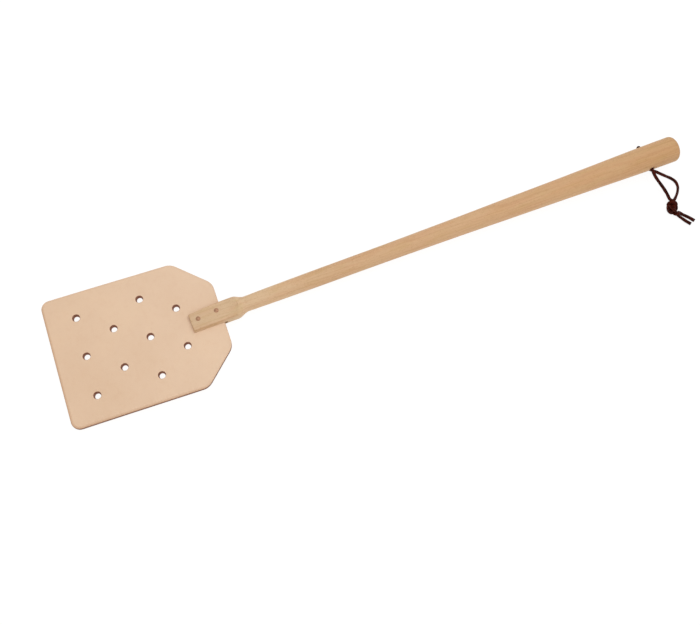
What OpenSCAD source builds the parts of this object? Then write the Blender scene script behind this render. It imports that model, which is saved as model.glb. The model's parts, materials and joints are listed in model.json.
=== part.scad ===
// Leather fly swatter: a turned wooden handle, a punched leather flap pinned
// in its slotted head, and a knotted leather thong through the butt.
// The swatter lies on the plane z = 0, on the underside of its head and on the
// thong where it passes under the butt. X runs along the handle towards the butt.

/* [Handle] */
// Length of the wooden handle, from the tip of its head to its butt
handle_len = 352; // [320:1:420]
// Diameter of the neck, just behind the head
neck_d = 9.8; // [9:0.1:10.8]
// Greatest diameter of the grip, near the butt
grip_d = 17.8; // [16.5:0.1:20]
// Diameter of the turned head
head_d = 14.5; // [13.5:0.1:16]
// Thickness of the head between its two planed cheeks
head_t = 7.6; // [7:0.1:8.4]
// Width taken off one side of the head at its tip
head_trim = 2.3; // [0:0.1:3]

/* [Flap] */
// Length of the leather flap, along the handle
flap_len = 105.2; // [95:0.1:115]
// Width of the flap
flap_w = 85.2; // [80:0.2:92]
// Thickness of the leather
leather_t = 3; // [2.4:0.1:3.2]
// Width of the flap's short edge, at the handle
flap_neck_w = 44; // [38:0.5:50]
// Length of the sloping corners
flap_slope_len = 21.5; // [18:0.5:24]
// Radius of the two far corners
far_corner_r = 5.4; // [4:0.1:8]
// Radius of the four blunt corners
blunt_corner_r = 9; // [6:0.5:10]
// How far the flap goes into the slot
flap_grip = 20.2; // [19:0.1:21]
// Angle at which the flap was set in the slot
flap_skew = 2.85; // [0:0.05:3.5]
// Diameter of the punched air holes
air_hole_d = 4.7; // [4:0.1:6]

/* [Pins] */
// Diameter of the two pins through the head
pin_d = 2.8; // [2:0.1:3]

/* [Thong] */
// Diameter of the leather thong
thong_d = 2; // [1.8:0.1:2.2]
// Diameter of the hole that the thong goes through
thong_hole_d = 3; // [2.6:0.1:3.4]
// Distance from the thong hole to the butt's end
thong_hole_inset = 23; // [20:0.5:26]

/* [Hidden] */

wood_c = [0.85, 0.70, 0.51];
leather_c = [0.89, 0.77, 0.65];
pin_c = [0.55, 0.37, 0.26];
thong_c = [0.24, 0.10, 0.07];

round_fn = 96;
small_fn = 48;
cut = 1;               // how far a cutting solid runs past what it cuts

// --- Handle, on the X axis with its tip at x = 0 ---
shoulder_x = 29;       // where the head's full diameter ends
neck_x = 36.5;         // where the neck is thinnest
butt_edge_r = 2.5;
butt_dome = 0.8;
cheek_len = 20;        // flat length of a planed cheek
cheek_runout_r = 24;   // radius of the cutter at the cheek's end
slot_len = 21.6;
pin_front_at = [5, 0.3];
pin_rear_at = [17.3, 1.4];
thong_hole_x = handle_len - thong_hole_inset;

// The grip's growth in diameter, from 0 at the neck to 1 at the butt
taper = [
  [0, 0], [0.06, 0.08], [0.25, 0.18], [0.36, 0.23],
  [0.58, 0.46], [0.81, 0.75], [0.93, 0.96], [1, 1]
];
taper_steps = 40;
shoulder_steps = 8;
dome_steps = 6;

function span_of(u, i = 0) =
  i >= len(taper) - 2 || u <= taper[i + 1][0] ? i : span_of(u, i + 1);

// Smooth curve through the stations, with each one's slope set by its neighbours
function growth(u) =
  let (
    i = span_of(u),
    a = taper[i],
    b = taper[i + 1],
    before = taper[max(i - 1, 0)],
    after = taper[min(i + 2, len(taper) - 1)],
    h = b[0] - a[0],
    t = (u - a[0]) / h,
    slope_a = (b[1] - before[1]) / (b[0] - before[0]) * h,
    slope_b = (after[1] - a[1]) / (after[0] - a[0]) * h
  )
  (2 * t ^ 3 - 3 * t ^ 2 + 1) * a[1] + (t ^ 3 - 2 * t ^ 2 + t) * slope_a
  + (3 * t ^ 2 - 2 * t ^ 3) * b[1] + (t ^ 3 - t ^ 2) * slope_b;

grip_end_x = handle_len - butt_dome - butt_edge_r;

function grip_r(x) =
  (neck_d + (grip_d - neck_d) * growth((x - neck_x) / (grip_end_x - neck_x))) / 2;

function shoulder_r(x) =
  (neck_d + (head_d - neck_d) * (1 + cos(180 * (x - shoulder_x) / (neck_x - shoulder_x))) / 2) / 2;

// Height of a cheek above the axis, where the cutter runs out of the wood
function runout_h(x) =
  head_t / 2 + cheek_runout_r - sqrt(cheek_runout_r ^ 2 - (x - cheek_len) ^ 2);

// Half outline of the turned blank, as [radius, distance from the tip]
blank_outline = concat(
  [[0, 0], [head_d / 2, 0]],
  [for (i = [0 : shoulder_steps])
    let (x = shoulder_x + (neck_x - shoulder_x) * i / shoulder_steps)
    [shoulder_r(x), x]],
  [for (i = [1 : taper_steps])
    let (x = neck_x + (grip_end_x - neck_x) * i / taper_steps)
    [grip_r(x), x]],
  [for (i = [1 : dome_steps])
    let (a = 90 * i / dome_steps)
    [grip_d / 2 - butt_edge_r * (1 - cos(a)), grip_end_x + butt_edge_r * sin(a)]],
  [[grip_d / 4, handle_len - butt_dome / 4], [0, handle_len]]
);

// --- Flap, in the slot and turned by flap_skew about its own centre ---
flap_at = [flap_grip - flap_len / 2, 1.2];
hole_pitch = 20;       // between columns of holes
hole_rows = 26;        // between holes in a column
first_column = 19;     // from the far edge
column_shifts = [0.1, -0.9, -0.1, -0.1];  // of each column, along Y
corner_steps = 8;

flap_corners = [
  [-flap_len / 2, flap_w / 2, far_corner_r],
  [flap_len / 2 - flap_slope_len, flap_w / 2, blunt_corner_r],
  [flap_len / 2, flap_neck_w / 2, blunt_corner_r],
  [flap_len / 2, -flap_neck_w / 2, blunt_corner_r],
  [flap_len / 2 - flap_slope_len, -flap_w / 2, blunt_corner_r],
  [-flap_len / 2, -flap_w / 2, far_corner_r]
];

function flat(p) = [p.x, p.y];
function unit(v) = v / norm(v);
function turned(p, a) = [p.x * cos(a) - p.y * sin(a), p.x * sin(a) + p.y * cos(a)];

// Arc that rounds the corner at p, between its neighbours before and after
function corner_arc(before, p, after) =
  let (
    to_before = unit(flat(before) - flat(p)),
    to_after = unit(flat(after) - flat(p)),
    half = acos(to_before * to_after) / 2,
    centre = flat(p) + unit(to_before + to_after) * p[2] / sin(half),
    from = flat(p) + to_before * p[2] / tan(half) - centre
  )
  [for (i = [0 : corner_steps]) centre + turned(from, -(180 - 2 * half) * i / corner_steps)];

flap_outline = [
  for (i = [0 : 5])
    for (q = corner_arc(flap_corners[(i + 5) % 6], flap_corners[i], flap_corners[(i + 1) % 6])) q
];
flap_placed = [for (p = flap_outline) turned(p, -flap_skew) + flap_at];

// --- Where the leather flexes: a sprung hinge across the flap, off the head's tip ---
flex_x = -2.5;
flex_gap = 0.3;

// --- Rest: which way the swatter leans on the surface, and its origin there ---
function xs(points) = [for (p = points) p.x];
function ys(points) = [for (p = points) p.y];
bight_r = grip_r(thong_hole_x) + thong_d / 2;
bight_low = bight_r + thong_d / 2;
lean_step = 0.1;
lean = min([
  for (x = [shoulder_x : lean_step : neck_x])
    atan((bight_low - min(runout_h(x), shoulder_r(x))) / (thong_hole_x - x))
]);
origin = [
  (min(xs(flap_placed)) + handle_len) / 2 * cos(lean),
  (min(ys(flap_placed)) + max(ys(flap_placed))) / 2,
  thong_hole_x * sin(lean) - bight_low * cos(lean)
];

// --- Thong: routes as offsets from its swing axis on the surface, under the butt ---
swing_offset = 4.4;    // of the swing axis from the handle's axis, towards -Y
swing_at = [
  thong_hole_x * cos(lean) - origin.x + bight_r * sin(lean),
  -origin.y - swing_offset,
  0
];
tube_sides = 8;
hole_mouth_run = 2.2;  // of the thong, straight out of the hole
raised_route = [
  [0.1, -7, 9.9], [0.8, -9.5, 8.4], [2.6, -13, 6], [4, -17.5, 4.7], [4.8, -22.3, 3.8], [4.6, -28.6, 3.4]
];
bowed_route = [
  [3.8, -0.2, 1], [6.6, -2.9, 1], [9.5, -6.1, 1], [12.2, -9.1, 1], [14.7, -11.8, 1], [16.5, -14.7, 1],
  [16.9, -17.3, 1], [16.2, -20.2, 1], [14, -23.4, 1.1], [10.9, -26.2, 1.7], [6.6, -29.3, 3]
];
tail_long_route = [[5.4, -34.6, 2.4], [7.2, -37, 1.8], [9.4, -39.8, 1.2], [11.9, -43.1, 1], [14.4, -46.7, 1]];
tail_short_route = [[3.6, -35.9, 2.2], [4.6, -37.8, 1.8], [6.2, -40.8, 1.2], [8.3, -44.3, 1], [10.8, -48, 1]];
knot_at = [3.4, -32.7, 3.6];
knot_size = [7.8, 11, 7];
knot_turn = -26;

// From the handle's own frame to the rest position
module placed() {
  translate([-origin.x, -origin.y, -origin.z])
    rotate([0, -lean, 0])
      children();
}

// --- Wooden handle ---
module turned_blank() {
  rotate([0, 90, 0])
    rotate_extrude($fn = round_fn)
      polygon(blank_outline);
}

// Takes one cheek down to the flat, and runs out of the wood with the cutter's radius
module cheek_cutter() {
  translate([-cut, -head_d, head_t / 2])
    cube([cheek_len + cut, 2 * head_d, head_d]);
  translate([cheek_len, 0, head_t / 2 + cheek_runout_r])
    rotate([90, 0, 0])
      cylinder(r = cheek_runout_r, h = 2 * head_d, center = true, $fn = round_fn);
}

module side_trimmer() {
  trim_angle = atan(head_trim / shoulder_x);
  translate([0, head_d / 2 - head_trim, 0])
    rotate([0, 0, trim_angle])
      translate([-head_d, 0, -head_d])
        cube([shoulder_x + head_d, head_d, 2 * head_d]);
}

module through_head(at) {
  translate([at.x, at.y, -head_d])
    cylinder(d = pin_d, h = 2 * head_d, $fn = small_fn);
}

module handle() {
  color(wood_c)
    placed()
      difference() {
        turned_blank();
        cheek_cutter();
        mirror([0, 0, 1])
          cheek_cutter();
        if (head_trim > 0)
          side_trimmer();
        translate([-cut, -head_d, -leather_t / 2])
          cube([slot_len + cut, 2 * head_d, leather_t]);
        through_head(pin_front_at);
        through_head(pin_rear_at);
        translate([thong_hole_x, 0, 0])
          rotate([90, 0, 0])
            cylinder(d = thong_hole_d, h = 2 * grip_d, center = true, $fn = small_fn);
      }
}

// --- Leather flap ---
module air_holes() {
  for (column = [0 : 3])
    for (row = column % 2 == 0 ? [-1, 0, 1] : [-0.5, 0.5])
      translate([first_column - flap_len / 2 + column * hole_pitch, row * hole_rows + column_shifts[column], 0])
        cylinder(d = air_hole_d, h = 2 * leather_t, center = true, $fn = small_fn);
}

module whole_flap() {
  difference() {
    translate([0, 0, -leather_t / 2])
      linear_extrude(leather_t)
        polygon(flap_placed);
    translate([flap_at.x, flap_at.y, 0])
      rotate([0, 0, -flap_skew])
        air_holes();
    through_head(pin_front_at);
    through_head(pin_rear_at);
  }
}

// The part that the head holds, up to the line where the leather flexes
module flap_root() {
  color(leather_c)
    placed()
      intersection() {
        whole_flap();
        translate([flex_x + leather_t / 2 + flex_gap, -flap_w, -leather_t])
          cube([flap_len, 2 * flap_w, 2 * leather_t]);
      }
}

// The free part, with a round edge on the flex line
module flap_blade() {
  color(leather_c)
    placed()
      intersection() {
        whole_flap();
        union() {
          translate([flex_x - 2 * flap_len, -flap_w, -leather_t])
            cube([2 * flap_len, 2 * flap_w, 2 * leather_t]);
          translate([flex_x, 0, 0])
            rotate([90, 0, 0])
              cylinder(d = leather_t, h = 2 * flap_w, center = true, $fn = small_fn);
        }
      }
}

// --- Pins ---
module pin(at) {
  color(pin_c)
    placed()
      translate([at.x, at.y, -head_t / 2])
        cylinder(d = pin_d, h = head_t, $fn = small_fn);
}

module pin_front() {
  pin(pin_front_at);
}

module pin_rear() {
  pin(pin_rear_at);
}

// --- Thong ---
// Direction of a route at its point i, from the points on either side
function heading(route, i) =
  unit(route[min(i + 1, len(route) - 1)] - route[max(i - 1, 0)]);

function ring(route, i, r) =
  let (
    along = heading(route, i),
    side = unit(cross(along, [0, 0, 1])),
    up = cross(side, along)
  )
  [for (k = [0 : tube_sides - 1])
    let (a = 360 * (k + 0.5) / tube_sides)
    route[i] + r * (cos(a) * side + sin(a) * up)];

module tube(route, d) {
  last = len(route) - 1;
  r = d / 2;
  points = [for (i = [0 : last]) each ring(route, i, r)];
  sides = [
    for (i = [0 : last - 1])
      for (k = [0 : tube_sides - 1])
        let (a = i * tube_sides + k, b = i * tube_sides + (k + 1) % tube_sides)
        [a, b, b + tube_sides, a + tube_sides]
  ];
  near_cap = [for (k = [tube_sides - 1 : -1 : 0]) k];
  far_cap = [for (k = [0 : tube_sides - 1]) last * tube_sides + k];
  polyhedron(points = points, faces = concat(sides, [near_cap, far_cap]), convexity = 4);
}

module thong_tube(route) {
  color(thong_c)
    translate(swing_at)
      tube(route, thong_d);
}

// Through the hole, down the far side of the grip and under it
module thong_bight() {
  hole_run = bight_r + grip_r(thong_hole_x) + hole_mouth_run;
  color(thong_c)
    placed()
      translate([thong_hole_x, 0, 0]) {
        translate([0, bight_r, 0])
          rotate([90, 0, 0])
            cylinder(d = thong_d, h = hole_run, $fn = small_fn);
        translate([0, bight_r, 0])
          sphere(d = thong_d, $fn = small_fn);
        rotate([0, 90, 0])
          rotate_extrude(angle = 90, $fn = round_fn)
            translate([bight_r, 0])
              circle(d = thong_d, $fn = small_fn);
      }
}

module thong_strand_raised() {
  thong_tube(raised_route);
}

module thong_strand_bowed() {
  thong_tube(bowed_route);
}

module thong_knot() {
  color(thong_c)
    translate(swing_at + knot_at)
      rotate([0, 0, knot_turn])
        scale(knot_size)
          sphere(d = 1, $fn = small_fn);
}

module thong_tail_long() {
  thong_tube(tail_long_route);
}

module thong_tail_short() {
  thong_tube(tail_short_route);
}

handle();
flap_root();
flap_blade();
pin_front();
pin_rear();
thong_bight();
thong_strand_raised();
thong_strand_bowed();
thong_knot();
thong_tail_long();
thong_tail_short();
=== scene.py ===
"""Looks of the leather fly swatter: beech handle, punched flap, copper pins and a knotted thong.

Design lengths are in millimetres. The handle and the flap are drawn in the handle's own frame,
with X from the tip of its head to its butt, and the thong is drawn from its swing axis.
"""
import json
import math

import bpy
import numpy as np
from mathutils import Matrix, Vector, noise
from mathutils.geometry import delaunay_2d_cdt


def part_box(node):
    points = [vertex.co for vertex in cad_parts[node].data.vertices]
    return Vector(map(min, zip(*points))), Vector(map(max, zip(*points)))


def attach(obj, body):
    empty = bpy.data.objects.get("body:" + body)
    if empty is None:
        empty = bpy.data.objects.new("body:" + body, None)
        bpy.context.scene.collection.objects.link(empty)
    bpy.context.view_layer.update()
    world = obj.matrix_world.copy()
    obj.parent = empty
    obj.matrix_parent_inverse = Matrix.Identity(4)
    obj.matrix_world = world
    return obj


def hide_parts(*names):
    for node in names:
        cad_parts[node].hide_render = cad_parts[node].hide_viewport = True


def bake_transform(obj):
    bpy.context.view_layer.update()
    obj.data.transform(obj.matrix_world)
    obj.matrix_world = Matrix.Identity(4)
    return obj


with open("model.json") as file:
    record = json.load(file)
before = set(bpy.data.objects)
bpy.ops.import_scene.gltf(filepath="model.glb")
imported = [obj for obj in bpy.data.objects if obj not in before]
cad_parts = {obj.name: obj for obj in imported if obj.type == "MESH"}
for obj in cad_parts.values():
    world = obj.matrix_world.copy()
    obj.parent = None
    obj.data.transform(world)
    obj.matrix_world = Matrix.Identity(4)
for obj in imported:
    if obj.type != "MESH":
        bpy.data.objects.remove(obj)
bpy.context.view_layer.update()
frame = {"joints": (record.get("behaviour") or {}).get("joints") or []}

MM = 0.001

# --- Sizes shared with the part ---
HANDLE_LEN = 352
NECK_D = 9.8
GRIP_D = 17.8
HEAD_D = 14.5
HEAD_T = 7.6
HEAD_TRIM = 2.3
SHOULDER_X = 29
NECK_X = 36.5
BUTT_EDGE_R = 2.5
BUTT_DOME = 0.8
CHEEK_LEN = 20
CHEEK_RUNOUT_R = 24
SLOT_LEN = 21.6
TAPER = [(0, 0), (0.06, 0.08), (0.25, 0.18), (0.36, 0.23), (0.58, 0.46), (0.81, 0.75), (0.93, 0.96), (1, 1)]
PIN_FRONT_AT = (5, 0.3)
PIN_REAR_AT = (17.3, 1.4)
PIN_D = 2.8

FLAP_LEN = 105.2
FLAP_W = 85.2
LEATHER_T = 3
FLAP_NECK_W = 44
FLAP_SLOPE_LEN = 21.5
FAR_CORNER_R = 5.4
BLUNT_CORNER_R = 9
FLAP_GRIP = 20.2
FLAP_SKEW = math.radians(2.85)
FLAP_AT = np.array([FLAP_GRIP - FLAP_LEN / 2, 1.2])
AIR_HOLE_D = 4.7
HOLE_PITCH = 20
HOLE_ROWS = 26
FIRST_COLUMN = 19
COLUMN_SHIFTS = (0.1, -0.9, -0.1, -0.1)

THONG_HOLE_X = HANDLE_LEN - 23
THONG_HOLE_D = 3


# --- Frames: the handle's own, found from the two pins across its axis, and the thong's ---
def middle(node):
    low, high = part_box(node)
    return (low + high) / 2


pin_line = middle("pin_rear") - middle("pin_front")
TILT = Matrix.Rotation(-math.atan2(pin_line.z, pin_line.x), 4, "Y")
TIP = middle("pin_front") - TILT @ Vector((*PIN_FRONT_AT, 0)) * MM
FROM_HANDLE = Matrix.Translation(TIP) @ TILT @ Matrix.Scale(MM, 4)
SWING_AT = Vector(next(j["pos_m"] for j in frame["joints"] if j["name"] == "thong_swing"))
FROM_SWING = Matrix.Translation(SWING_AT) @ Matrix.Scale(MM, 4)


# --- Camera ---
CAMERA_AT = TIP + Vector((-0.012855, -0.19487, 0.53715))
CAMERA_AIM = TIP + Vector((0.096945, -0.02707, -0.00625))
CAMERA_ROLL = math.radians(11.29)
CAMERA_LENS = 46.3


def make_camera():
    data = bpy.data.cameras.new("camera")
    data.lens = CAMERA_LENS
    data.clip_start = 0.01
    camera = bpy.data.objects.new("camera", data)
    bpy.context.scene.collection.objects.link(camera)
    towards = (CAMERA_AIM - CAMERA_AT).to_track_quat("-Z", "Y").to_matrix().to_4x4()
    camera.matrix_world = Matrix.Translation(CAMERA_AT) @ towards @ Matrix.Rotation(CAMERA_ROLL, 4, "Z")
    bpy.context.scene.camera = camera


make_camera()


# --- Mesh tools ---
def transform(points, matrix):
    points = np.asarray(points, float)
    return points @ np.array(matrix.to_3x3()).T + np.array(matrix.translation)


def new_piece(name, points, faces, matrix, materials, face_materials=None):
    """A smooth mesh object drawn in millimetres, which keeps its drawing coordinates as "rest"."""
    mesh = bpy.data.meshes.new(name)
    mesh.from_pydata(transform(points, matrix).tolist(), [], [list(map(int, f)) for f in faces])
    for material in materials:
        mesh.materials.append(material)
    if face_materials is not None:
        mesh.polygons.foreach_set("material_index", np.asarray(face_materials, np.int32))
    add_attribute(mesh, "rest", points)
    mesh.shade_smooth()
    mesh.update()
    piece = bpy.data.objects.new(name, mesh)
    bpy.context.scene.collection.objects.link(piece)
    return piece


def add_attribute(mesh, name, values):
    values = np.asarray(values, np.float32)
    if values.ndim == 2:
        attribute = mesh.attributes.new(name, "FLOAT_VECTOR", "POINT")
        attribute.data.foreach_set("vector", values.ravel())
    else:
        attribute = mesh.attributes.new(name, "FLOAT", "POINT")
        attribute.data.foreach_set("value", values)


def tube_faces(ring_count, sides):
    """Quads between rings of points that follow each other, with a face on each end."""
    faces = []
    for i in range(ring_count - 1):
        for k in range(sides):
            a, b = i * sides + k, i * sides + (k + 1) % sides
            faces.append((a, b, b + sides, a + sides))
    faces.append(range(sides - 1, -1, -1))
    last = (ring_count - 1) * sides
    faces.append(range(last, last + sides))
    return faces


def lathe(profile, sides):
    """Points and faces of a closed solid turned about Z from (radius, height) stations."""
    turn = np.arange(sides) * 2 * math.pi / sides
    rings = [np.stack([r * np.cos(turn), r * np.sin(turn), np.full(sides, z)], 1) for r, z in profile]
    return np.concatenate(rings), tube_faces(len(profile), sides)


def smoothstep(low, high, value):
    t = np.clip((np.asarray(value, float) - low) / (high - low), 0, 1)
    return t * t * (3 - 2 * t)


def unit(vectors):
    return vectors / np.linalg.norm(vectors, axis=-1, keepdims=True)


# --- Thong: its route, from the swing axis ---
LACE_W = 2.2
LACE_T = 1.5
LACE_STEP = 0.4
LACE_SIDES = 16
LACE_SQUARENESS = 3.2  # power of its section, where 2 is an ellipse
LACE_CLEARANCE = 0.03  # above the surface it lies on
SETTLE_RATE = 0.12     # at which the lace turns its wide side to the surface
HOLE_Y = 4.4           # of the handle's axis from the swing axis
HOLE_Z = 10.77         # height of the hole above the surface
WRAP_R = 9.79          # of the thong's centre round the grip
MOUTH_R = 1.9          # of its bend at the mouth of the hole
MOUTH_BULGE = 0.2      # that the bend stands off the wood
RAISED_ROUTE = [
    (0.1, -7, 9.9), (0.8, -9.5, 8.4), (2.6, -13, 6), (4, -17.5, 4.7), (4.8, -22.3, 3.8)
]
BOWED_ROUTE = [
    (3.8, -0.2, 1), (6.6, -2.9, 1), (9.5, -6.1, 1), (12.2, -9.1, 1), (14.7, -11.8, 1), (16.5, -14.7, 1),
    (16.9, -17.3, 1), (16.2, -20.2, 1), (14, -23.4, 1.1), (10.9, -26.2, 1.7)
]
TAIL_LONG_ROUTE = [(9.0, -40, 1.2), (11.9, -43.1, 1), (14.4, -46.7, 1)]
TAIL_SHORT_ROUTE = [(6.2, -40.6, 1.2), (8.3, -44.3, 1), (10.8, -48, 1)]
KNOT_AT = (3.1, -33.2, 3.5)
KNOT_ROLL = math.radians(70)
KNOT_INS = [(4.8, -27, 3.4), (8.3, -28, 2.5)]
KNOT_OUTS = [(4.6, -38.0, 1.7), (6.8, -37.4, 1.7)]
KNOT_STRAND_D = 1.8
KNOT_STRAND_LEN = 40
KNOT_POINTS = 64
KNOT_SCALE = 2.6       # of the loose knot
KNOT_STEPS = 500
KNOT_EASE = 0.25       # share by which each step straightens the strands
LINK_PASSES = 4


def tie_knot():
    """Ties two strands together in one overhand knot and draws it tight: a small rope simulation."""
    starts, ends = np.array(KNOT_INS), np.array(KNOT_OUTS)
    pull = unit(ends.mean(0) - starts.mean(0))
    up = unit(np.array([0, 0, 1]) - pull * pull[2])
    side = np.cross(up, pull)
    c, s = math.cos(KNOT_ROLL), math.sin(KNOT_ROLL)
    axes = np.stack([pull, side * c + up * s, up * c - side * s])
    t = np.linspace(-2.2, 2.2, KNOT_POINTS)
    loose = KNOT_SCALE * np.stack([t**3 - 3 * t, t**4 - 4 * t**2 + 0.8, 0.15 * (t**5 - 10 * t)], 1)
    along = np.gradient(loose, axis=0)
    aside = 0.55 * KNOT_STRAND_D * unit(np.stack([-along[:, 1], along[:, 0], 0 * t], 1))
    rope = np.array(KNOT_AT) + np.stack([loose + aside, loose - aside]) @ axes
    first = rope.copy()
    loose_step = np.linalg.norm(np.diff(rope, axis=1), axis=2).mean()
    tight_step = KNOT_STRAND_LEN / (KNOT_POINTS - 1)
    place = np.tile(np.arange(KNOT_POINTS), 2)
    strand = np.repeat([0, 1], KNOT_POINTS)
    beside = abs(place[:, None] - place) < math.ceil(1.7 * KNOT_STRAND_D / tight_step)
    apart = ~(beside & (strand[:, None] == strand))
    one, other = np.nonzero(np.triu(apart, 1))
    for step in range(KNOT_STEPS):
        rest = loose_step + (tight_step - loose_step) * min(1, step / (0.75 * KNOT_STEPS))
        drawn = min(1, step / (0.5 * KNOT_STEPS))
        rope[:, 1:-1] += KNOT_EASE * ((rope[:, :-2] + rope[:, 2:]) / 2 - rope[:, 1:-1])
        for _ in range(LINK_PASSES):
            for offset in (0, 1):
                a, b = rope[:, offset:-1:2], rope[:, offset + 1::2]
                gap = b - a
                length = np.linalg.norm(gap, axis=2, keepdims=True)
                shift = gap * (0.5 * (length - rest) / length)
                a += shift
                b -= shift
            rope[:, 0] = first[:, 0] + (starts - first[:, 0]) * drawn
            rope[:, -1] = first[:, -1] + (ends - first[:, -1]) * drawn
            push_apart(rope.reshape(-1, 3), one, other)
            if drawn == 1:
                rope[..., 2] = np.maximum(rope[..., 2], KNOT_STRAND_D / 2)
    # The thong's set keeps the knot to one side of the line between its ends
    aside = (np.array(KNOT_AT) - rope[:, 8:-8].mean((0, 1))) * (1, 1, 0)
    rope += aside * (1 - np.linspace(-1, 1, KNOT_POINTS)[:, None] ** 8)
    return rope


def push_apart(points, one, other):
    """Moves the listed pairs of points that are closer than the strand's diameter away from each other."""
    gap = points[other] - points[one]
    length = np.linalg.norm(gap, axis=1)
    hit = length < KNOT_STRAND_D
    one, other = one[hit], other[hit]
    shift = gap[hit] * (0.5 * (KNOT_STRAND_D - length[hit]) / length[hit])[:, None]
    move, count = np.zeros_like(points), np.zeros(len(points))
    np.add.at(move, one, -shift)
    np.add.at(move, other, shift)
    np.add.at(count, one, 1)
    np.add.at(count, other, 1)
    points += 1.4 * move / np.maximum(count, 1)[:, None]


def smooth_route(points, step):
    """A smooth curve through the points, as samples one step apart."""
    p = np.asarray(points, float)
    p = np.concatenate([[2 * p[0] - p[1]], p, [2 * p[-1] - p[-2]]])
    knots = np.concatenate([[0], np.cumsum(np.linalg.norm(np.diff(p, axis=0), axis=1) ** 0.5)])
    fine = []
    for i in range(1, len(p) - 2):
        t0, t1, t2, t3 = knots[i - 1:i + 3]
        t = np.linspace(t1, t2, 12, endpoint=i == len(p) - 3)[:, None]
        a1 = (t1 - t) / (t1 - t0) * p[i - 1] + (t - t0) / (t1 - t0) * p[i]
        a2 = (t2 - t) / (t2 - t1) * p[i] + (t - t1) / (t2 - t1) * p[i + 1]
        a3 = (t3 - t) / (t3 - t2) * p[i + 1] + (t - t2) / (t3 - t2) * p[i + 2]
        b1 = (t2 - t) / (t2 - t0) * a1 + (t - t0) / (t2 - t0) * a2
        b2 = (t3 - t) / (t3 - t1) * a2 + (t - t1) / (t3 - t1) * a3
        fine.append((t2 - t) / (t2 - t1) * b1 + (t - t1) / (t2 - t1) * b2)
    return evenly(np.concatenate(fine), step)


def evenly(line, step):
    """The same line, as samples one step apart."""
    run = np.concatenate([[0], np.cumsum(np.linalg.norm(np.diff(line, axis=0), axis=1))])
    count = max(2, round(run[-1] / step) + 1)
    at = np.linspace(0, run[-1], count)
    return np.stack([np.interp(at, run, line[:, i]) for i in range(3)], 1)


def wrap_route():
    """From the hole's far mouth, round the far side of the grip and under it."""
    turn = np.linspace(0, math.pi / 2, 7)[1:]
    mouth = WRAP_R + MOUTH_BULGE - MOUTH_R
    bend = [(0, HOLE_Y + mouth + MOUTH_R * math.sin(a), HOLE_Z - MOUTH_R * (1 - math.cos(a))) for a in turn]
    first = math.asin(MOUTH_R / WRAP_R)
    wrap = []
    for a in np.linspace(first, math.pi / 2, 10)[1:]:
        radius = WRAP_R + MOUTH_BULGE * float(smoothstep(math.radians(50), first, a))
        wrap.append((0, HOLE_Y + radius * math.cos(a), HOLE_Z - radius * math.sin(a)))
    return bend + wrap


class Strand:
    """Half of the lace, from the middle of the hole to the end of a tail, with a ring at each sample."""

    def __init__(self, points, twist):
        self.line = smooth_route(points, LACE_STEP)
        along = unit(np.gradient(self.line, axis=0))
        wide = np.empty_like(along)
        wide[0] = (1, 0, 0)
        for i in range(1, len(wide)):
            flat = np.array((along[i, 1], -along[i, 0], 0))
            flat *= math.copysign(SETTLE_RATE, flat @ wide[i - 1])
            carried = wide[i - 1] + flat
            wide[i] = unit(carried - along[i] * (carried @ along[i]))
        run = np.arange(len(wide)) * LACE_STEP
        angle = np.radians(np.interp(run, *zip(*twist)))[:, None]
        thin = np.cross(along, wide)
        c, s = np.cos(angle), np.sin(angle)
        wide, thin = wide * c + thin * s, thin * c - wide * s
        turn = (np.arange(LACE_SIDES) + 0.5) * 2 * math.pi / LACE_SIDES
        square = 2 / LACE_SQUARENESS
        across = np.sign(np.cos(turn)) * abs(np.cos(turn)) ** square * LACE_W / 2
        over = np.sign(np.sin(turn)) * abs(np.sin(turn)) ** square * LACE_T / 2
        waver = 1 + 0.05 * np.sin(run * 0.9) * np.sin(run * 0.37 + 1)
        self.rings = (
            self.line[:, None] + (wide[:, None] * across[:, None] + thin[:, None] * over[:, None])
            * waver[:, None, None]
        )
        lift = np.maximum(0, LACE_CLEARANCE - self.rings[..., 2].min(1))
        soft = np.convolve(np.pad(lift, 6, "edge"), np.ones(13) / 13, "valid")
        lift = np.maximum(lift, soft)
        self.rings[..., 2] += lift[:, None]
        self.line[:, 2] += lift
        self.run = run
        self.turn = turn

    def nearest(self, point):
        return int(np.argmin(np.linalg.norm(self.line - np.array(point), axis=1)))

    def part(self, start, end):
        """Points, faces and lace coordinates between two samples."""
        rings = self.rings[start:end + 1]
        lace = np.stack(np.broadcast_arrays(
            np.cos(self.turn), np.sin(self.turn), self.run[start:end + 1, None]), -1)
        return rings.reshape(-1, 3), tube_faces(len(rings), LACE_SIDES), lace.reshape(-1, 3)


def lace_piece(name, parts):
    """One object of one or more parts of the lace."""
    points, faces, lace = [], [], []
    for part_points, part_faces, part_lace in parts:
        first = sum(map(len, points))
        points.append(part_points)
        faces += [[v + first for v in f] for f in part_faces]
        lace.append(part_lace)
    piece = new_piece(name, np.concatenate(points), faces, FROM_SWING, [LACE_LEATHER])
    add_attribute(piece.data, "lace", np.concatenate(lace))
    piece.data.set_sharp_from_angle(angle=math.radians(50))
    return piece


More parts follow.
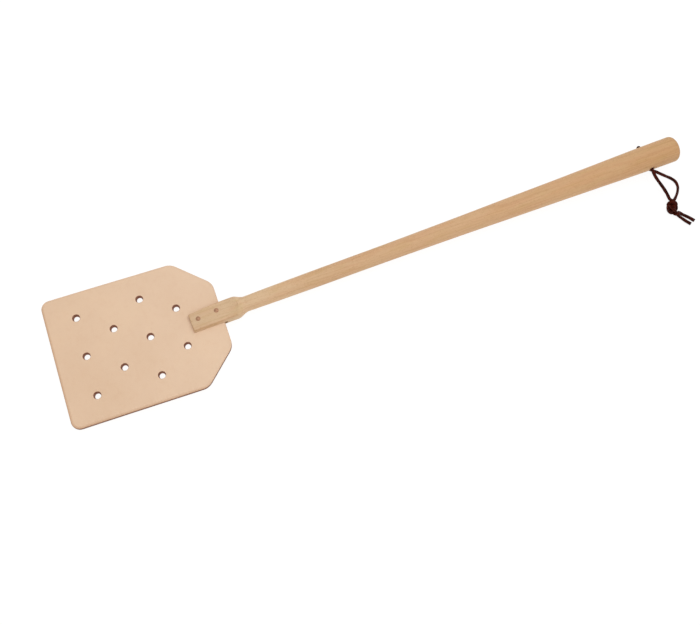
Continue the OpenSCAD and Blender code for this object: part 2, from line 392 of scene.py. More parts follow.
# --- Materials ---
class Look:
    """A node material, in which each call adds one node and returns its output."""

    def __init__(self, name, **constants):
        self.material = bpy.data.materials.new(name)
        self.material.use_nodes = True
        self.nodes = self.material.node_tree.nodes
        self.links = self.material.node_tree.links
        self.shader = self.nodes["Principled BSDF"]
        for socket, value in constants.items():
            self.shader.inputs[socket.replace("_", " ")].default_value = value

    def add(self, kind, inputs, **settings):
        node = self.nodes.new("ShaderNode" + kind)
        for name, value in settings.items():
            setattr(node, name, value)
        for socket, value in inputs.items():
            self.feed(node.inputs[socket], value)
        return node

    def feed(self, socket, value):
        if isinstance(value, bpy.types.NodeSocket):
            self.links.new(value, socket)
        else:
            socket.default_value = value

    def attribute(self, name):
        return self.add("Attribute", {}, attribute_name=name).outputs["Vector"]

    def math(self, operation, *values):
        return self.add("Math", dict(enumerate(values)), operation=operation).outputs[0]

    def part(self, vector, axis):
        return self.add("SeparateXYZ", {0: vector}).outputs[axis]

    def scaled(self, vector, x, y, z):
        return self.add("VectorMath", {0: vector, 1: (x, y, z)}, operation="MULTIPLY").outputs[0]

    def noise(self, vector, scale, detail=2.0, roughness=0.5, distortion=0.0):
        inputs = {"Vector": vector, "Scale": scale, "Detail": detail, "Roughness": roughness,
                  "Distortion": distortion}
        return self.add("TexNoise", inputs).outputs["Fac"]

    def cells(self, vector, scale, feature="F1"):
        node = self.add("TexVoronoi", {"Vector": vector, "Scale": scale}, feature=feature)
        return node.outputs["Distance"]

    def span(self, value, low, high, to_low=0.0, to_high=1.0):
        inputs = {"Value": value, "From Min": low, "From Max": high, "To Min": to_low, "To Max": to_high}
        return self.add("MapRange", inputs, interpolation_type="SMOOTHSTEP").outputs["Result"]

    def ramp(self, value, stops):
        node = self.add("ValToRGB", {0: value})
        elements = node.color_ramp.elements
        while len(elements) < len(stops):
            elements.new(0.5)
        for element, (position, colour) in zip(elements, stops):
            element.position = position
            element.color = colour
        return node.outputs["Color"]

    def mix(self, share, a, b, blend="MIX"):
        node = self.add("Mix", {0: share, 6: a, 7: b}, data_type="RGBA", blend_type=blend)
        return node.outputs[2]

    def bump(self, height, depth, strength=1.0):
        """Bumps of a height from 0 to 1, and a depth in millimetres."""
        self.feed(self.shader.inputs["Normal"], self.add(
            "Bump", {"Height": height, "Distance": depth * MM, "Strength": strength}).outputs["Normal"])

    def finish(self, colour, roughness):
        self.feed(self.shader.inputs["Base Color"], colour)
        self.feed(self.shader.inputs["Roughness"], roughness)
        return self.material


def tone(red, green, blue, share=1.0):
    """A paint colour from its 8-bit look under this scene's light."""
    def linear(v):
        v /= 255
        return v / 12.92 if v <= 0.04045 else ((v + 0.055) / 1.055) ** 2.4
    return (*(min(1, linear(v) * share / LIGHT_LEVEL) for v in (red, green, blue)), 1)


LIGHT_LEVEL = 1.02     # of light that a level white surface sends back


def wood_look():
    """Beech along X: growth rings, short dark flecks, pores, and end grain on the tip and the butt."""
    look = Look("oiled_beech", IOR=1.46, Specular_IOR_Level=0.45)
    at = look.attribute("rest")
    x = look.part(at, "X")
    share = look.math("DIVIDE", x, HANDLE_LEN)
    base = look.ramp(share, [
        (0.0, tone(213, 181, 144)), (0.08, tone(219, 187, 149)), (0.13, tone(221, 187, 148)),
        (0.25, tone(213, 174, 132)), (0.45, tone(214, 173, 131)), (0.75, tone(211, 169, 124)),
        (1.0, tone(204, 161, 113)),
    ])
    # Distance from the heart of a tree that leans a little from the handle's axis
    waver = look.noise(look.scaled(at, 0.012, 0.16, 0.16), 1.0, 2.0)
    across = look.add("CombineXYZ", {
        1: look.math("ADD", look.part(at, "Y"), look.math("MULTIPLY_ADD", x, 0.022, -31.0)),
        2: look.math("ADD", look.part(at, "Z"), look.math("MULTIPLY_ADD", x, -0.016, -23.0)),
    }).outputs[0]
    heart = look.add("VectorMath", {0: across}, operation="LENGTH").outputs["Value"]
    rings = look.math("SINE", look.math("MULTIPLY", look.math("MULTIPLY_ADD", waver, 7.0, heart), 2.9))
    late = look.span(rings, 0.1, 1.0)
    ring_depth = look.span(look.noise(look.scaled(at, 0.02, 0.3, 0.3), 1.0, 2.0), 0.3, 0.7, 0.05, 0.45)
    colour = look.mix(look.math("MULTIPLY", late, ring_depth), base,
                      look.mix(1.0, base, (0.84, 0.76, 0.68, 1), "MULTIPLY"))
    # Pinker and yellower patches
    patch = look.noise(look.scaled(at, 0.03, 0.2, 0.2), 1.0, 3.0, 0.6)
    colour = look.mix(look.span(patch, 0.42, 0.62, 0.0, 0.7), colour,
                      look.mix(1.0, colour, (0.99, 0.92, 0.90, 1), "MULTIPLY"))
    sallow = look.noise(look.scaled(at, 0.045, 0.24, 0.24), 1.3, 3.0, 0.6)
    colour = look.mix(look.span(sallow, 0.48, 0.66, 0.0, 0.7), colour,
                      look.mix(1.0, colour, (0.955, 0.965, 0.87, 1), "MULTIPLY"))
    # Fibres and flecks
    fibre = look.noise(look.scaled(at, 0.09, 3.2, 3.2), 1.0, 4.0, 0.65)
    colour = look.mix(look.span(fibre, 0.38, 0.72, 0.0, 0.5), colour,
                      look.mix(1.0, colour, (0.86, 0.82, 0.76, 1), "MULTIPLY"))
    fleck = look.cells(look.scaled(at, 0.42, 2.1, 2.1), 1.0)
    flecks = look.span(fleck, 0.16, 0.3, 1.0, 0.0)
    colour = look.mix(look.math("MULTIPLY", flecks, 0.5), colour,
                      look.mix(1.0, colour, (0.74, 0.62, 0.5, 1), "MULTIPLY"))
    # End grain soaks up more oil. The tip, the butt and the thong hole's mouths are darker, and painted
    # shade darkens the head's planed edges
    facing = look.add("TexCoord", {}).outputs["Normal"]
    end = look.span(look.math("ABSOLUTE", look.part(facing, "X")), 0.6, 0.95)
    pores = look.cells(look.scaled(at, 1.0, 4.0, 4.0), 1.0)
    end_colour = look.mix(look.span(pores, 0.1, 0.45, 0.55, 0.0), colour,
                          look.mix(1.0, colour, (0.62, 0.5, 0.4, 1), "MULTIPLY"))
    end_colour = look.mix(1.0, end_colour, (0.9, 0.84, 0.78, 1), "MULTIPLY")
    colour = look.mix(end, colour, end_colour)
    darkening_and_shade = look.add("Attribute", {}, attribute_name="darkening_and_shade").outputs["Fac"]
    darkening_noise = look.noise(at, 0.35, 3.0, 0.6)
    colour = look.mix(look.math("MULTIPLY", darkening_and_shade, look.span(darkening_noise, 0.3, 0.7, 0.35, 0.9)), colour,
                      look.mix(1.0, colour, (0.84, 0.74, 0.64, 1), "MULTIPLY"))
    grain = look.noise(look.scaled(at, 0.22, 6.5, 6.5), 1.0, 3.0, 0.6)
    look.bump(look.math("MULTIPLY_ADD", flecks, -0.5, grain), 0.05, 0.7)
    polish = look.math("MULTIPLY_ADD", darkening_and_shade, -0.1, 0.42)
    return look.finish(colour, look.math("MULTIPLY_ADD", fibre, 0.22, polish))


def leather_top_look():
    """Smooth natural grain side: fine pores, faint growth wrinkles, cloudy tan tone."""
    look = Look("leather_grain_side", IOR=1.45, Specular_IOR_Level=0.4)
    at = look.attribute("rest")
    clouds = look.noise(at, 0.022, 3.0, 0.55)
    colour = look.ramp(clouds, [
        (0.3, tone(228, 195, 164)), (0.5, tone(231, 199, 169)), (0.7, tone(234, 202, 171)),
    ])
    far = look.span(look.part(at, "X"), -85, 5)
    colour = look.mix(far, look.mix(1.0, colour, (0.975, 0.96, 0.94, 1), "MULTIPLY"), colour)
    mottle = look.noise(at, 0.35, 4.0, 0.6)
    colour = look.mix(look.span(mottle, 0.45, 0.75, 0.0, 0.35), colour,
                      look.mix(1.0, colour, (0.95, 0.90, 0.86, 1), "MULTIPLY"))
    pores = look.cells(at, 1.9)
    pore = look.span(pores, 0.05, 0.3, 1.0, 0.0)
    colour = look.mix(look.math("MULTIPLY", pore, 0.22), colour,
                      look.mix(1.0, colour, (0.82, 0.70, 0.60, 1), "MULTIPLY"))
    # The "edge" attribute darkens the grain side along the outline: evenly, and more as painted shade on
    # the edges facing away from the key light
    edge = look.add("Attribute", {}, attribute_name="edge").outputs["Fac"]
    colour = look.mix(edge, colour, look.mix(1.0, colour, (0.70, 0.56, 0.46, 1), "MULTIPLY"))
    wrinkle = look.noise(look.scaled(at, 0.25, 0.7, 1.0), 1.0, 5.0, 0.6, 1.2)
    height = look.math("MULTIPLY_ADD", wrinkle, 0.8, look.math("MULTIPLY", pore, -0.35))
    look.bump(height, 0.09, 0.6)
    return look.finish(colour, look.span(mottle, 0.2, 0.8, 0.44, 0.6))


def leather_flesh_look():
    """Brushed flesh side: matt, fibrous and paler."""
    look = Look(
        "leather_flesh_side", IOR=1.4, Specular_IOR_Level=0.25, Sheen_Weight=0.25, Sheen_Roughness=0.6,
    )
    at = look.attribute("rest")
    nap = look.noise(look.scaled(at, 0.9, 2.6, 1.0), 1.0, 5.0, 0.7, 0.6)
    clouds = look.noise(at, 0.05, 3.0, 0.6)
    colour = look.mix(look.span(nap, 0.3, 0.7), tone(196, 160, 127), tone(220, 189, 158))
    colour = look.mix(look.span(clouds, 0.35, 0.7, 0.0, 0.5), colour,
                      look.mix(1.0, colour, (0.92, 0.86, 0.80, 1), "MULTIPLY"))
    fibre = look.noise(look.scaled(at, 0.35, 1.4, 1.0), 1.0, 4.0, 0.65, 2.0)
    look.bump(look.math("MULTIPLY_ADD", nap, 0.6, fibre), 0.22, 0.8)
    return look.finish(colour, look.span(nap, 0.2, 0.8, 0.78, 0.95))


def leather_edge_look(name, share):
    """Cut edge: layered fibres, darker than the faces; share lightens all of it, which paints light on the
    punched holes' walls.
    """
    look = Look(name, IOR=1.42, Specular_IOR_Level=0.12)
    at = look.attribute("rest")
    layers = look.noise(look.scaled(at, 0.7, 0.7, 5.0), 1.0, 4.0, 0.65)
    blotch = look.noise(at, 0.3, 3.0, 0.6)
    colour = look.mix(look.span(layers, 0.3, 0.7), tone(116, 76, 62, share), tone(156, 112, 90, share))
    colour = look.mix(look.span(blotch, 0.4, 0.7, 0.0, 0.5), colour,
                      look.mix(1.0, colour, (0.82, 0.74, 0.68, 1), "MULTIPLY"))
    look.bump(layers, 0.16, 0.8)
    return look.finish(colour, look.span(blotch, 0.2, 0.8, 0.62, 0.8))


def copper_look():
    """Hammered copper that has gone brown, redder and brighter towards its rim."""
    look = Look("aged_copper", Metallic=0.75)
    at = look.attribute("rest")
    radius = look.add("Attribute", {}, attribute_name="rim").outputs["Fac"]
    patina = look.noise(at, 1.6, 4.0, 0.65)
    colour = look.mix(look.span(radius, 0.45, 0.95), tone(172, 134, 104), tone(188, 134, 110))
    colour = look.mix(look.span(patina, 0.4, 0.68, 0.0, 0.6), colour, tone(150, 110, 82))
    dents = look.cells(at, 1.3)
    look.bump(look.math("MULTIPLY_ADD", patina, 0.4, dents), 0.12, 0.7)
    return look.finish(colour, look.span(patina, 0.3, 0.7, 0.38, 0.62))


def lace_look():
    """Waxed thong leather: nearly black brown, with redder streaks along its length and patches of one dark
    red brown.
    """
    look = Look("waxed_thong_leather", IOR=1.45, Specular_IOR_Level=0.06)
    lace = look.attribute("lace")
    streak = look.noise(look.scaled(lace, 2.4, 2.4, 0.16), 1.0, 4.0, 0.65)
    patch = look.noise(lace, 0.35, 3.0, 0.6)
    colour = look.mix(look.span(streak, 0.35, 0.7), tone(26, 5, 2), tone(90, 28, 12))
    colour = look.mix(look.span(patch, 0.42, 0.7, 0.0, 0.6), colour, tone(50, 12, 5))
    pores = look.cells(look.scaled(lace, 2.0, 2.0, 1.6), 1.0)
    look.bump(look.math("MULTIPLY_ADD", streak, 1.0, look.span(pores, 0.0, 0.4, 0.0, 0.5)), 0.1, 0.8)
    return look.finish(colour, look.span(patch, 0.3, 0.7, 0.36, 0.55))


LACE_LEATHER = lace_look()


# --- Thong ---
RAISED_LEN = 37
BOWED_LEN = 61


def make_thong():
    knot = tie_knot()
    hole = [(0, HOLE_Y, HOLE_Z), (0, HOLE_Y - 4, HOLE_Z), (0, -3.4, HOLE_Z)]
    far_mouth = HOLE_Y + WRAP_R + MOUTH_BULGE - MOUTH_R
    far_hole = [(0, HOLE_Y, HOLE_Z), (0, HOLE_Y + 4, HOLE_Z), (0, far_mouth, HOLE_Z)]
    raised = Strand(hole + RAISED_ROUTE + knot[0].tolist() + TAIL_SHORT_ROUTE, [(0, 0), (200, 0)])
    bowed = Strand(far_hole + wrap_route() + BOWED_ROUTE + knot[1].tolist() + TAIL_LONG_ROUTE,
                   [(0, 65), (9, 65), (20, 0), (27, 0), (33, 85), (62, 85), (70, 20), (200, 0)])
    mouth = bowed.nearest(wrap_route()[2])
    into_knot = [strand.nearest(at) for strand, at in zip((raised, bowed), knot[:, 5])]
    from_knot = [strand.nearest(at) for strand, at in zip((raised, bowed), knot[:, -4])]

    bight = lace_piece("thong_in_hole", [bowed.part(0, mouth)])
    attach(bight, "handle")
    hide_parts("thong_bight")

    knot_piece = lace_piece("thong_overhand_knot", [
        strand.part(start, end) for strand, start, end in zip((raised, bowed), into_knot, from_knot)])
    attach(knot_piece, "thong")
    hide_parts("thong_knot")

    tails = []
    for name, node, strand, start in (
        ("thong_short_end", "thong_tail_short", raised, from_knot[0]),
        ("thong_long_end", "thong_tail_long", bowed, from_knot[1]),
    ):
        tail = lace_piece(name, [strand.part(start, len(strand.line) - 1)])
        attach(tail, "thong")
        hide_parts(node)
        tails.append(tail)

    for name, node, strand, start, end, length, ends in (
        ("thong_raised", "thong_strand_raised", raised, 0, into_knot[0], RAISED_LEN, [knot_piece, *tails]),
        ("thong_bowed", "thong_strand_bowed", bowed, mouth, into_knot[1], BOWED_LEN, []),
    ):
        piece = lace_piece(name, [strand.part(start, end)])
        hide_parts(node)
        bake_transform(piece)
        outlet = strand.nearest((0, -4.1, HOLE_Z)) if strand is raised else mouth


make_thong()


# --- Wooden handle ---
HANDLE_SIDES = 192
EDGE_SOFTNESS = 45     # power of the soft minimum that eases the planed edges
TIP_EASE = 0.5
HEAD_STEP = 0.35
SHAFT_STEP = 2.5
PIN_CLEARANCE = 0.05


def growth(u):
    """The grip's growth in diameter, from 0 at the neck to 1 at the butt."""
    i = next((k for k in range(len(TAPER) - 2) if u <= TAPER[k + 1][0]), len(TAPER) - 2)
    (ax, ay), (bx, by) = TAPER[i], TAPER[i + 1]
    (px, py), (nx, ny) = TAPER[max(i - 1, 0)], TAPER[min(i + 2, len(TAPER) - 1)]
    h = bx - ax
    t = (u - ax) / h
    slope_a, slope_b = (by - py) / (bx - px) * h, (ny - ay) / (nx - ax) * h
    return (
        (2 * t**3 - 3 * t**2 + 1) * ay + (t**3 - 2 * t**2 + t) * slope_a
        + (3 * t**2 - 2 * t**3) * by + (t**3 - t**2) * slope_b
    )


GRIP_END_X = HANDLE_LEN - BUTT_DOME - BUTT_EDGE_R


def blank_radius(x):
    """Radius of the turned blank, before its head is planed."""
    if x <= SHOULDER_X:
        return HEAD_D / 2
    if x <= NECK_X:
        fall = (1 + math.cos(math.pi * (x - SHOULDER_X) / (NECK_X - SHOULDER_X))) / 2
        return (NECK_D + (HEAD_D - NECK_D) * fall) / 2
    return (NECK_D + (GRIP_D - NECK_D) * growth(min(1, (x - NECK_X) / (GRIP_END_X - NECK_X)))) / 2


def handle_ring(x, turn):
    """Radius of the handle at x for each angle, with the head's planed cheeks and trimmed side."""
    limits = [np.full_like(turn, blank_radius(x))]
    if x < SHOULDER_X + 2:
        height = HEAD_T / 2
        if x > CHEEK_LEN:
            height += CHEEK_RUNOUT_R - math.sqrt(CHEEK_RUNOUT_R**2 - (x - CHEEK_LEN) ** 2)
        limits.append(height / np.maximum(abs(np.sin(turn)), 1e-3))
        side = HEAD_D / 2 - HEAD_TRIM * (1 - x / SHOULDER_X)
        limits.append(side / np.maximum(np.cos(turn), 1e-3))
    radius = sum(limit**-EDGE_SOFTNESS for limit in limits) ** (-1 / EDGE_SOFTNESS)
    out_of_round = 0.05 * np.sin(2 * turn + x / 37) + 0.03 * math.sin(x / 11)
    return radius + out_of_round * float(smoothstep(SHOULDER_X, NECK_X, x))


def handle_stations():
    """(x, inset, share of the radius) of each ring from the tip to the butt."""
    quarter = np.linspace(0, math.pi / 2, 5)
    stations = [(0, TIP_EASE, share) for share in (0.03, 0.3, 0.6, 0.85)]
    stations += [(TIP_EASE * (1 - math.cos(a)), TIP_EASE * (1 - math.sin(a)), 1) for a in quarter]
    stations += [(x, 0, 1) for x in np.arange(2 * TIP_EASE, NECK_X + 3, HEAD_STEP)]
    stations += [(x, 0, 1) for x in np.arange(NECK_X + 4, GRIP_END_X, SHAFT_STEP)]
    quarter = np.linspace(0, math.pi / 2, 10)
    stations += [
        (GRIP_END_X + BUTT_EDGE_R * math.sin(a), BUTT_EDGE_R * (1 - math.cos(a)), 1) for a in quarter
    ]
    stations += [
        (HANDLE_LEN - BUTT_DOME * share**2, BUTT_EDGE_R, share) for share in (0.8, 0.6, 0.4, 0.2, 0.04)
    ]
    return stations


def cutter(name, points, faces):
    return new_piece(name, points, faces, Matrix.Identity(4), [])


def box_cutter(name, low, high):
    (x0, y0, z0), (x1, y1, z1) = low, high
    points = [(x, y, z) for x in (x0, x1) for y in (y0, y1) for z in (z0, z1)]
    faces = [(0, 1, 3, 2), (4, 6, 7, 5), (0, 4, 5, 1), (2, 3, 7, 6), (0, 2, 6, 4), (1, 5, 7, 3)]
    return cutter(name, points, faces)


def bore_cutter(name, at, profile, along):
    """A turned cutter of (radius, distance) stations, with its axis along Y or Z."""
    points, faces = lathe(profile, 48)
    if along == "Y":
        points = points[:, [0, 2, 1]] * (1, -1, 1)
    return cutter(name, points + np.array(at), faces)


def cut_away(piece, tool):
    """Takes the tool's solid out of the piece, and removes the tool."""
    modifier = piece.modifiers.new("cut", "BOOLEAN")
    modifier.object = tool
    modifier.solver = "EXACT"
    graph = bpy.context.evaluated_depsgraph_get()
    result = bpy.data.meshes.new_from_object(piece.evaluated_get(graph))
    piece.modifiers.clear()
    piece.data = result
    bpy.data.objects.remove(tool)


def make_handle():
    turn = np.arange(HANDLE_SIDES) * 2 * math.pi / HANDLE_SIDES
    stations = handle_stations()
    rings = []
    for x, inset, share in stations:
        radius = (handle_ring(min(x, GRIP_END_X), turn) - inset) * share
        rings.append(np.stack([np.full_like(turn, x), radius * np.cos(turn), radius * np.sin(turn)], 1))
    handle = cutter("wooden_handle", np.concatenate(rings), tube_faces(len(rings), HANDLE_SIDES))
    reach = 10 * HEAD_D
    cut_away(handle, box_cutter("slot", (-10, -reach, -LEATHER_T / 2), (SLOT_LEN, reach, LEATHER_T / 2)))
    for at in (PIN_FRONT_AT, PIN_REAR_AT):
        bore = PIN_D / 2 + PIN_CLEARANCE
        cut_away(handle, bore_cutter("bore", (*at, 0), [(bore, -HEAD_D), (bore, HEAD_D)], "Z"))
    hole, mouth, grip = THONG_HOLE_D / 2, THONG_HOLE_D / 2 + 0.7, blank_radius(THONG_HOLE_X)
    cut_away(handle, bore_cutter("thong_hole", (THONG_HOLE_X, 0, 0), [
        (mouth, -2 * grip), (mouth, -grip - 0.1), (hole, -grip + 0.8),
        (hole, grip - 0.8), (mouth, grip + 0.1), (mouth, 2 * grip),
    ], "Y"))

    mesh = handle.data
    points = np.array([v.co for v in mesh.vertices])
    x, y, z = points.T
    mesh.attributes["rest"].data.foreach_set("vector", points.astype(np.float32).ravel())
    radius = np.hypot(y, z)
    blank = np.array([blank_radius(v) for v in np.clip(x, 0, GRIP_END_X)])
    # Painted shade along the head's planed edges, where the cheeks meet the turned sides
    planed_edge_shade = smoothstep(0.5, 0, abs(radius - blank)) * smoothstep(1.2, 0, abs(abs(z) - HEAD_T / 2))
    ends = np.maximum(smoothstep(1.2, 0, x), smoothstep(GRIP_END_X - 1, HANDLE_LEN - 1, x))
    mouths = smoothstep(4.2, 1.8, np.hypot(x - THONG_HOLE_X, z))
    darkening_and_shade = np.clip(np.maximum.reduce([planed_edge_shade * (x < SHOULDER_X), ends * 0.8, mouths]), 0, 1)
    add_attribute(mesh, "darkening_and_shade", darkening_and_shade)
    mesh.transform(FROM_HANDLE)
    mesh.shade_smooth()
    mesh.set_sharp_from_angle(angle=math.radians(32))
    mesh.materials.clear()
    mesh.materials.append(wood_look())
    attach(handle, "handle")
    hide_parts("handle")
    return handle


make_handle()


# --- Leather flap ---
LEATHER_MADE_T = 2.94  # a little under the slot's width
EDGE_R = 0.4
HOLE_EDGE_R = 0.12
HOLE_TAPER = 0.55      # that a punched hole closes in by, at the flesh side
PIN_EDGE_R = 0.04
FLAP_STEP = 2.2
CORNER_STEPS = 10
HOLE_SIDES = 40
SAG = 0.35
SHADE_W = 1.3          # width of the darker border along the outline: an even darkening plus painted shade
SHADED_EDGE_DIRECTION = np.array((-0.85, -0.53))  # of the edges that face away from the key light and get the most painted shade
GRAIN_SIDE, FLESH_SIDE, CUT_EDGE, PUNCHED_EDGE = range(4)  # the flap's materials


def corner_arc(before, corner, after):
    """Points and outward directions of a rounded corner."""
    at = np.array(corner[:2], float)
    to_before, to_after = unit(np.array(before[:2]) - at), unit(np.array(after[:2]) - at)
    half = math.acos(to_before @ to_after) / 2
    radius = corner[2]
    centre = at + unit(to_before + to_after) * radius / math.sin(half)
    first = unit(at + to_before * radius / math.tan(half) - centre)
    angles = -(math.pi - 2 * half) * np.linspace(0, 1, CORNER_STEPS)
    out = np.stack([first[0] * np.cos(angles) - first[1] * np.sin(angles),
                    first[0] * np.sin(angles) + first[1] * np.cos(angles)], 1)
    return centre + out * radius, out


def flap_edge():
    """The flap's outline in the handle's frame, and the outward direction at each point."""
    half_l, half_w, half_n = FLAP_LEN / 2, FLAP_W / 2, FLAP_NECK_W / 2
    corners = [
        (-half_l, half_w, FAR_CORNER_R), (half_l - FLAP_SLOPE_LEN, half_w, BLUNT_CORNER_R),
        (half_l, half_n, BLUNT_CORNER_R), (half_l, -half_n, BLUNT_CORNER_R),
        (half_l - FLAP_SLOPE_LEN, -half_w, BLUNT_CORNER_R), (-half_l, -half_w, FAR_CORNER_R),
    ]
    points, out = [], []
    for i, corner in enumerate(corners):
        arc, directions = corner_arc(corners[i - 1], corner, corners[(i + 1) % 6])
        if points:
            add_straight(points, out, arc[0], directions[0])
        points += list(arc)
        out += list(directions)
    add_straight(points, out, points[0], out[0])
    return skewed(points[::-1]) + FLAP_AT, skewed(out[::-1])


def add_straight(points, out, end, direction):
    """Adds the points between the last point and the end, which have one outward direction."""
    start = points[-1]
    count = max(1, round(np.linalg.norm(end - start) / FLAP_STEP))
    for k in range(1, count):
        points.append(start + (end - start) * k / count)
        out.append(direction)


def skewed(points):
    """Turned by the angle at which the flap was set in the slot."""
    c, s = math.cos(-FLAP_SKEW), math.sin(-FLAP_SKEW)
    return np.asarray(points, float) @ np.array([[c, s], [-s, c]])


def air_holes():
    """Centres of the punched holes, in staggered columns."""
    centres = [
        (FIRST_COLUMN - FLAP_LEN / 2 + column * HOLE_PITCH, row * HOLE_ROWS + COLUMN_SHIFTS[column])
        for column in range(4) for row in ((-1, 0, 1) if column % 2 == 0 else (-0.5, 0.5))
    ]
    return skewed(centres) + FLAP_AT


def flap_lift(x, y):
    """The gentle unevenness of a leather sheet, none where the head holds it."""
    free = smoothstep(0, 60, -x)
    return free * SAG * (0.6 * np.sin(x / 21 + 0.6) * np.cos(y / 17) + 0.4 * np.sin(y / 27 + 1.1) - 0.3)


def flap_loops():
    """Points, outward directions, edge radius and taper of the flap's border and of each hole in it."""
    spin = -np.arange(HOLE_SIDES) * 2 * math.pi / HOLE_SIDES
    out = np.stack([np.cos(spin), np.sin(spin)], 1)
    loops = [(*flap_edge(), EDGE_R, 0)]
    loops += [(at + out * AIR_HOLE_D / 2, -out, HOLE_EDGE_R, HOLE_TAPER) for at in air_holes()]
    loops += [(np.array(at) + out * PIN_D / 2, -out, PIN_EDGE_R, 0) for at in (PIN_FRONT_AT, PIN_REAR_AT)]
    return loops


def flap_face(outlines, starts, shade_points):
    """Points, triangles and area of the flap's flat face, between its border and its holes."""
    edges = [
        (a + k, a + (k + 1) % (b - a)) for a, b in zip(starts, starts[1:]) for k in range(b - a)
    ]
    inner = interior_points([shade_points, *outlines[1:]])
    for at in (PIN_FRONT_AT, PIN_REAR_AT):
        shade_points = shade_points[np.linalg.norm(shade_points - at, axis=1) > PIN_D / 2 + 0.5]
    every = np.concatenate([*outlines, shade_points, inner])
    found, _, triangles, origin, _, _ = delaunay_2d_cdt([Vector(p) for p in every], edges, [], 0, 1e-6)
    if len(found) != len(every):
        raise RuntimeError("the flap's outline crosses itself")
    order = np.array([o[0] for o in origin])
    triangles = order[np.array([list(t) for t in triangles])]
    loop_of = np.full(len(every), -1)
    for i, (a, b) in enumerate(zip(starts, starts[1:])):
        loop_of[a:b] = i
    owner = loop_of[triangles]
    outside = (owner[:, 0] >= 0) & (owner[:, 0] == owner[:, 1]) & (owner[:, 0] == owner[:, 2])
    triangles = triangles[~outside]
    corner = every[triangles]
    area = np.cross(corner[:, 1] - corner[:, 0], corner[:, 2] - corner[:, 0]) / 2
    triangles[area < 0] = triangles[area < 0][:, ::-1]
    return every, triangles, float(abs(area).sum())


def make_flap():
    loops = flap_loops()
    border, border_out = loops[0][:2]
    outlines = [points - out * edge_r for points, out, edge_r, _ in loops]
    starts = np.cumsum([0] + [len(p) for p in outlines])
    every, triangles, area = flap_face(outlines, starts, border - border_out * (EDGE_R + SHADE_W))
    half = LEATHER_MADE_T / 2
    count = len(every)
    under = every.copy()
    for (outline, out, _, taper), first in zip(loops, starts):
        under[first:first + len(outline)] += out * taper
    points = [np.column_stack([face, np.full(count, z)]) for face, z in ((every, half), (under, -half))]
    faces = [tuple(t) for t in triangles] + [tuple(t[::-1] + count) for t in triangles]
    kinds = [GRAIN_SIDE] * len(triangles) + [FLESH_SIDE] * len(triangles)
    # Painted shade: the outline and its rounding are darkened more where they face away from the key light
    edge_shade = np.clip(border_out @ SHADED_EDGE_DIRECTION, 0, 1)
    edge_darkening_and_shade = [np.zeros(count), np.zeros(count)]
    for layer in edge_darkening_and_shade:
        layer[:len(edge_shade)] = 0.15 + 0.6 * edge_shade
    total = 2 * count
    for (outline, out, edge_r, taper), first in zip(loops, starts):
        size = len(outline)
        rows = [np.arange(first, first + size)]
        for inset, height in edge_steps(half, edge_r):
            inset -= taper * (half - height) / (2 * half)
            points.append(np.column_stack([outline - out * inset, np.full(size, height)]))
            edge_darkening_and_shade.append(np.zeros(size) if first else 0.4 + 0.6 * edge_shade)
            rows.append(np.arange(total, total + size))
            total += size
        rows.append(np.arange(first, first + size) + count)
        for step, (upper, lower) in enumerate(zip(rows, rows[1:])):
            border_kind = GRAIN_SIDE if step < 3 else FLESH_SIDE if step > len(rows) - 5 else CUT_EDGE
            for k in range(size):
                n = (k + 1) % size
                faces.append((upper[k], lower[k], lower[n], upper[n]))
                kinds.append(PUNCHED_EDGE if first else border_kind)
    points = np.concatenate(points)
    points[:, 2] += flap_lift(points[:, 0], points[:, 1])
    materials = [
        leather_top_look(), leather_flesh_look(), leather_edge_look("leather_cut_edge", 1.0),
        # The punched holes' walls get a copy of the cut edge 1.3 times lighter: painted light on walls that
        # the lamps leave dark
        leather_edge_look("leather_punched_edge_painted_lighter", 1.3),
    ]
    flap = new_piece("leather_flap", points, faces, FROM_HANDLE, materials, kinds)
    add_attribute(flap.data, "edge", np.concatenate(edge_darkening_and_shade))
    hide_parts("flap_root", "flap_blade")
    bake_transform(flap)


def interior_points(loops):
    """A staggered grid inside the first loop, clear of every loop's own points."""
    low, high = loops[0].min(0), loops[0].max(0)
    grid = [
        (x + (row % 2) * FLAP_STEP / 2, y)
        for row, y in enumerate(np.arange(low[1], high[1], FLAP_STEP * 0.87))
        for x in np.arange(low[0], high[0], FLAP_STEP)
    ]
    grid = np.array(grid)
    border = loops[0]
    ahead = np.roll(border, -1, 0) - border
    normal = unit(np.stack([ahead[:, 1], -ahead[:, 0]], 1))
    side = ((grid[:, None] - border) * normal).sum(2)
    inside = (side > 0.9).all(1) | (side < -0.9).all(1)
    for loop in loops[1:]:
        centre = loop.mean(0)
        inside &= np.linalg.norm(grid - centre, axis=1) > np.linalg.norm(loop[0] - centre) + 1
    return grid[inside]


def edge_steps(half, edge_r):
    """(inset, height) of the rings round an edge, from just under the grain side to the flesh side."""
    arc = np.linspace(0, math.pi / 2, 5)[1:]
    upper = [(edge_r * (1 - math.sin(a)), half - edge_r * (1 - math.cos(a))) for a in arc]
    walls = [(0, half * share) for share in (0.25, -0.25)]
    lower = [(inset, -height) for inset, height in reversed(upper)]
    return upper + walls + lower


make_flap()


# --- Pins ---
PIN_DOME = 0.16
PIN_RIM_DROP = 0.06
PIN_DENT = 0.06


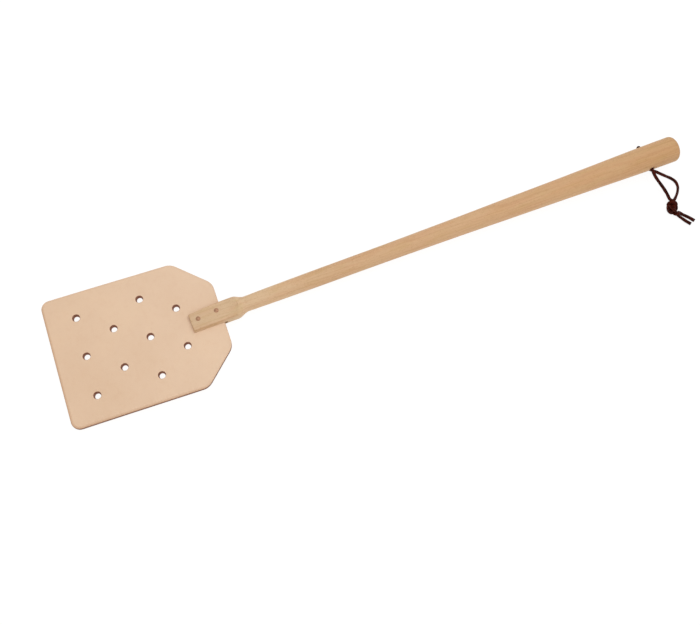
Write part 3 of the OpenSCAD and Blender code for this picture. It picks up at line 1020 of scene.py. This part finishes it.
def make_pin(name, node, at, seed):
    """A copper pin, hammered flush on both faces of the head."""
    half, radius = HEAD_T / 2, PIN_D / 2
    shares = (0.02, 0.2, 0.4, 0.6, 0.8, 0.93)
    top = [(radius * share, half + PIN_DOME * (1 - share**2)) for share in shares]
    top.append((radius, half - PIN_RIM_DROP))
    profile = [(r, -z) for r, z in top] + [(r, z) for r, z in reversed(top)]
    points, faces = lathe(profile, 40)
    outer = abs(points[:, 2]) > half - 0.01
    for i in np.flatnonzero(outer):
        dent = noise.noise(Vector(points[i]) * 1.4 + Vector((seed, 0, 0)))
        points[i, 2] += math.copysign(PIN_DENT * dent, points[i, 2])
    share = np.hypot(points[:, 0], points[:, 1]) / radius
    pin = new_piece(name, points + (*at, 0), faces, FROM_HANDLE, [COPPER])
    add_attribute(pin.data, "rim", share)
    pin.data.set_sharp_from_angle(angle=math.radians(50))
    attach(pin, "handle")
    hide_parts(node)


COPPER = copper_look()
make_pin("copper_pin_front", "pin_front", PIN_FRONT_AT, 3.7)
make_pin("copper_pin_rear", "pin_rear", PIN_REAR_AT, 9.2)


# --- Floor and light ---
FLOOR_SIZE = 40.0
FLOOR_GLOW = 0.91      # of light that the translucent table sends up
FLOOR_TONE = 0.13
ROOM_LIGHT = 0.62
ROOM_FADE = 0.2        # sine of the height up to which the walls take up the table's light


def make_floor():
    mesh = bpy.data.meshes.new("floor")
    half = FLOOR_SIZE / 2
    corners = [(-half, -half, 0), (half, -half, 0), (half, half, 0), (-half, half, 0)]
    mesh.from_pydata(corners, [], [(0, 1, 2, 3)])
    floor = bpy.data.objects.new("floor", mesh)
    bpy.context.scene.collection.objects.link(floor)
    look = Look(
        "lit_table", Specular_IOR_Level=0.0, Emission_Color=(1, 1, 1, 1), Emission_Strength=FLOOR_GLOW,
    )
    at = look.add("TexCoord", {}).outputs["Object"]
    speckle = look.noise(at, 900.0, 2.0)
    colour = look.mix(speckle, (FLOOR_TONE,) * 3 + (1,), (FLOOR_TONE * 1.04,) * 3 + (1,))
    mesh.materials.append(look.finish(colour, 0.9))


def add_lamp(name, at, size, power):
    data = bpy.data.lights.new(name, "AREA")
    data.shape = "RECTANGLE"
    data.size, data.size_y = size
    data.energy = power
    lamp = bpy.data.objects.new(name, data)
    lamp.location = at
    lamp.rotation_mode = "QUATERNION"
    lamp.rotation_quaternion = (CAMERA_AIM - Vector(at)).to_track_quat("-Z", "Y")
    bpy.context.scene.collection.objects.link(lamp)


def make_light():
    world = bpy.data.worlds.new("studio")
    world.use_nodes = True
    nodes = world.node_tree.nodes
    background = nodes["Background"]
    background.inputs["Color"].default_value = (1, 1, 1, 1)
    height = nodes.new("ShaderNodeSeparateXYZ")
    fade = nodes.new("ShaderNodeMapRange")
    fade.interpolation_type = "SMOOTHSTEP"
    fade.inputs["From Max"].default_value = ROOM_FADE
    fade.inputs["To Min"].default_value = 1
    fade.inputs["To Max"].default_value = ROOM_LIGHT
    links = world.node_tree.links
    links.new(nodes.new("ShaderNodeTexCoord").outputs["Generated"], height.inputs[0])
    links.new(height.outputs["Z"], fade.inputs["Value"])
    links.new(fade.outputs["Result"], background.inputs["Strength"])
    bpy.context.scene.world = world
    add_lamp("key", (0.45, 0.45, 1.5), (1.2, 1.2), 8)
    add_lamp("fill", (-0.2, -0.75, 1.3), (1.3, 1.3), 4)
    bpy.context.scene.view_settings.view_transform = "Standard"


make_floor()
make_light()
